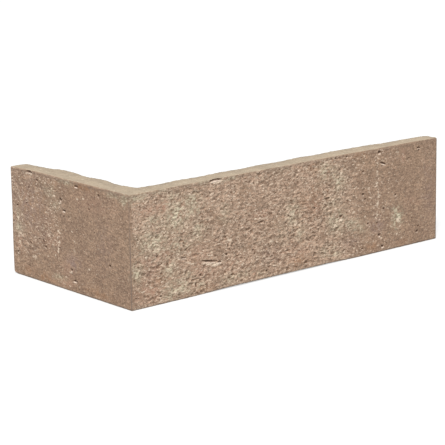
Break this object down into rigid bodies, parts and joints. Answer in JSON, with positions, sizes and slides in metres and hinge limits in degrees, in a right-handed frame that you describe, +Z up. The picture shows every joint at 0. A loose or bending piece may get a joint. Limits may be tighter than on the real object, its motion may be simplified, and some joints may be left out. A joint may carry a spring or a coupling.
{
  "type": "corner brick slip",
  "caption": "Fired-clay corner slip, L-shaped in plan, that turns a brick course round the outside corner of a wall; sandy pink-brown faces with small pits, keyed backs.",
  "frame": {"origin": "Where the wall's own corner comes: on the bed face, where the planes of the lands of the two backs meet.", "axes": "+X runs along the long leg and +Y along the short leg, as they turn the wall's corner. The stretcher face looks along -Y and lies at Y = -12.5 mm; the header face looks along -X and lies at X = -14.5 mm. +Z is up as the slip is laid."},
  "size_m": [0.24, 0.115, 0.065],
  "materials": {
    "fired_clay": "matt unglazed fired clay, sandy and pitted on the faces, paler on the cut edges"
  },
  "bodies": {
    "root": {"corner_slip": "fired_clay"}
  },
  "joints": []
}
